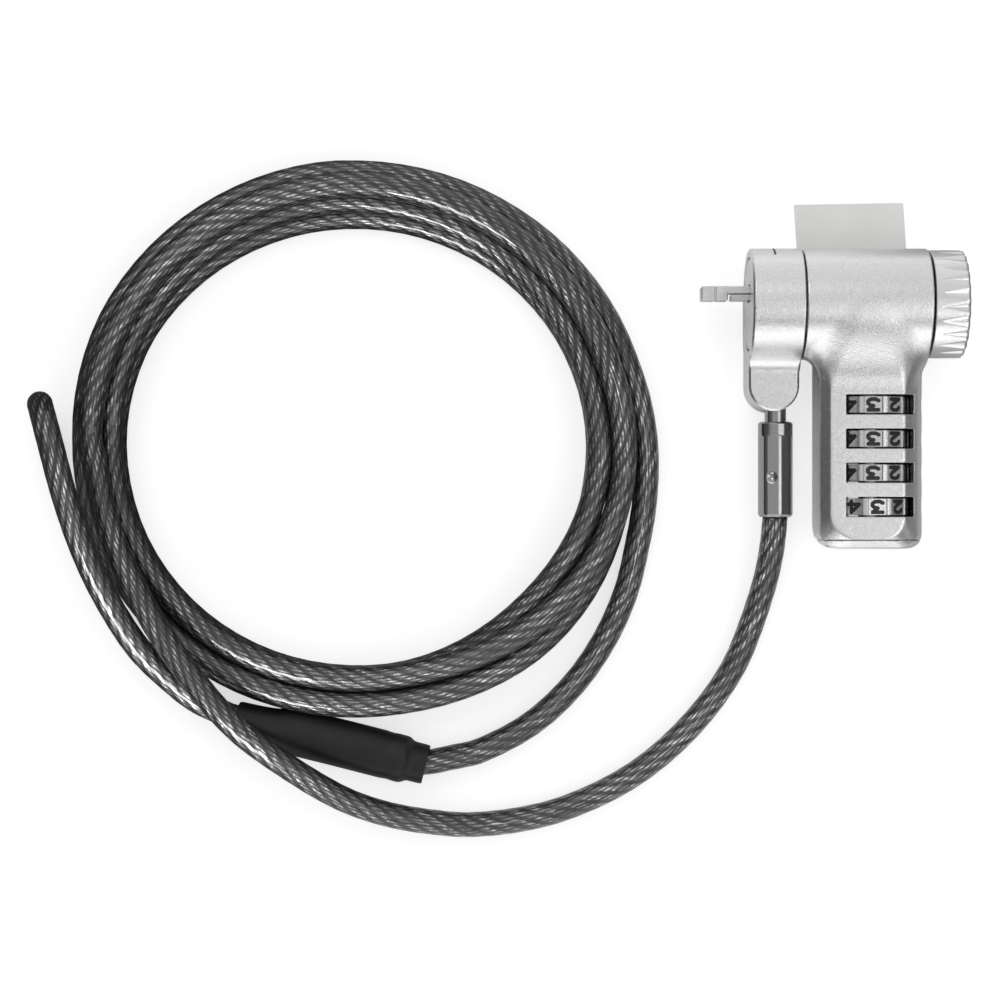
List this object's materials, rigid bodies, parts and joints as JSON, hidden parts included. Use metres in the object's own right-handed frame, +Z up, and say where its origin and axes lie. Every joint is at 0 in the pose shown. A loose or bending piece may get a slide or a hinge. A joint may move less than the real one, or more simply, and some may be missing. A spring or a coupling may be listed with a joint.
{
  "type": "laptop cable lock",
  "caption": "Combination cable lock for a laptop: barrel head with slot hook, turning knob, dial paddle and swivelling tongue on a coiled steel cable with a crimped eye.",
  "frame": {"origin": "on the floor, under the middle of the lock head's box (the head without its cable)", "axes": "+X along the barrel from the nose to the knob, +Y up the dial paddle towards the barrel, +Z up from the floor"},
  "size_m": [0.1832, 0.1335, 0.0241],
  "materials": {
    "satin_zinc": "satin nickel over die-cast zinc, faintly speckled",
    "knob_metal": "bright satin, tapered flutes",
    "dark_chrome": "polished dark chrome",
    "steel": "machined steel",
    "dial_metal": "plated, black engraved digits",
    "brass": "machined brass",
    "cable_jacket": "smoky clear glossy vinyl over twisted steel wire",
    "black_shrink": "matte black heat-shrink",
    "grey_label": "plain light grey film"
  },
  "bodies": {
    "cable": {"cable_lead": "cable_jacket", "cable_coil": "cable_jacket", "cable_tail": "cable_jacket", "cable_loop": "cable_jacket", "crimp_sleeve": "steel", "sleeve_cover": "black_shrink", "cable_ferrule": "dark_chrome", "swivel_stem": "dark_chrome"},
    "collar": {"swivel_collar": "satin_zinc", "stem_plug": "steel", "thrust_washer": "brass"},
    "head": {"lock_housing": "satin_zinc", "nose_plate": "satin_zinc", "hook_bar": "steel", "shaft_bushing": "brass", "bottom_cap": "satin_zinc", "cap_screw_1": "steel", "cap_screw_2": "steel", "dial_spindle": "steel", "detent_leaf": "steel", "label_tag": "grey_label"},
    "knob": {"knob": "knob_metal", "cam_shaft": "steel", "retaining_ring": "steel", "knob_screw": "steel"},
    "wedge": {"wedge_bar": "steel"},
    "dial_1": {"dial_1": "dial_metal", "dial_hub_1": "brass"},
    "dial_2": {"dial_2": "dial_metal", "dial_hub_2": "brass"},
    "dial_3": {"dial_3": "dial_metal", "dial_hub_3": "brass"},
    "dial_4": {"dial_4": "dial_metal", "dial_hub_4": "brass"},
    "reset": {"reset_screw": "brass"}
  },
  "joints": [
    {"name": "cable_swivel", "type": "hinge", "parent": "cable", "child": "collar", "pos_m": [-0.0103, -0.0045, 0.006], "axis": [0, 1, 0], "range_deg": [-110, 110]},
    {"name": "head_swivel", "type": "hinge", "parent": "collar", "child": "head", "pos_m": [-0.00555, 0.01338, 0.0109], "axis": [1, 0, 0], "continuous": true},
    {"name": "knob_turn", "type": "hinge", "parent": "head", "child": "knob", "pos_m": [0.0193, 0.01338, 0.0109], "axis": [1, 0, 0], "range_deg": [0, 90]},
    {"name": "wedge_slide", "type": "slide", "parent": "head", "child": "wedge", "axis": [1, 0, 0], "range_m": [0, 0.00401]},
    {"name": "dial_1_turn", "type": "hinge", "parent": "head", "child": "dial_1", "pos_m": [0.0078, -0.00637, 0.008], "axis": [0, 1, 0], "continuous": true},
    {"name": "dial_2_turn", "type": "hinge", "parent": "head", "child": "dial_2", "pos_m": [0.0078, -0.01299, 0.008], "axis": [0, 1, 0], "continuous": true},
    {"name": "dial_3_turn", "type": "hinge", "parent": "head", "child": "dial_3", "pos_m": [0.0078, -0.01961, 0.008], "axis": [0, 1, 0], "continuous": true},
    {"name": "dial_4_turn", "type": "hinge", "parent": "head", "child": "dial_4", "pos_m": [0.0078, -0.02623, 0.008], "axis": [0, 1, 0], "continuous": true},
    {"name": "reset_turn", "type": "hinge", "parent": "head", "child": "reset", "pos_m": [0.0078, -0.0345, 0.008], "axis": [0, 1, 0], "range_deg": [0, 90]}
  ],
  "couplings": [
    {"joint": "wedge_slide", "follows": "knob_turn", "m_per_rad": 0.0025465}
  ]
}
